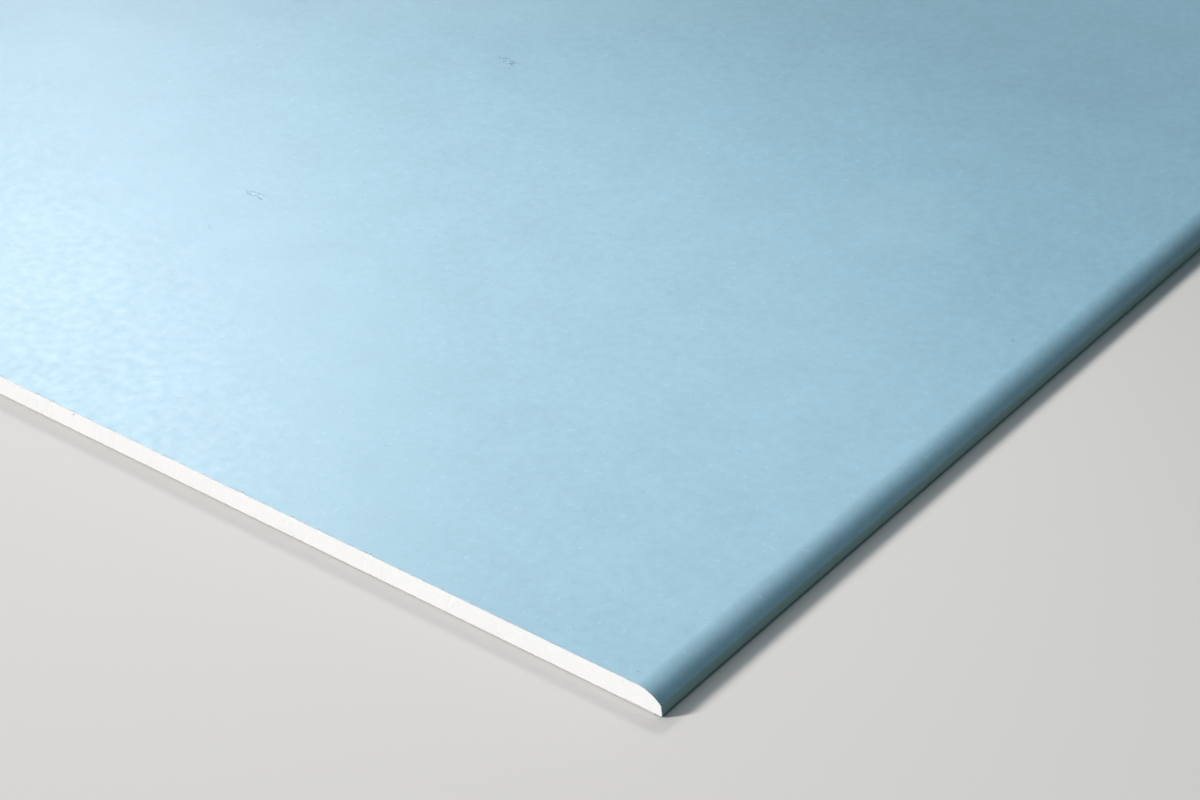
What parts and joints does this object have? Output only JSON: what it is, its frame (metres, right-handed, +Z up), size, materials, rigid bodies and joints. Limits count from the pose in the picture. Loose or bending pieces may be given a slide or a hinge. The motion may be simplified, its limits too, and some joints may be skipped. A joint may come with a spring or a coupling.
{
  "type": "drywall sheet",
  "caption": "Flat gypsum board with a blue paper face, half-round long edges and square-cut ends, for lining walls and ceilings.",
  "frame": {"origin": "middle of the underside of the board, on the surface that it lies on", "axes": "+X across the board, +Y along it from cut end to cut end, +Z up out of the blue face"},
  "size_m": [1.25, 2, 0.0125],
  "materials": {
    "gypsum": "matte, finely porous, cast",
    "blue_face_paper": "smooth uncoated paper, dull",
    "grey_back_paper": "rough recycled paper, matte"
  },
  "bodies": {
    "root": {"gypsum_core": "gypsum", "face_paper": "blue_face_paper", "back_paper": "grey_back_paper"}
  },
  "joints": []
}
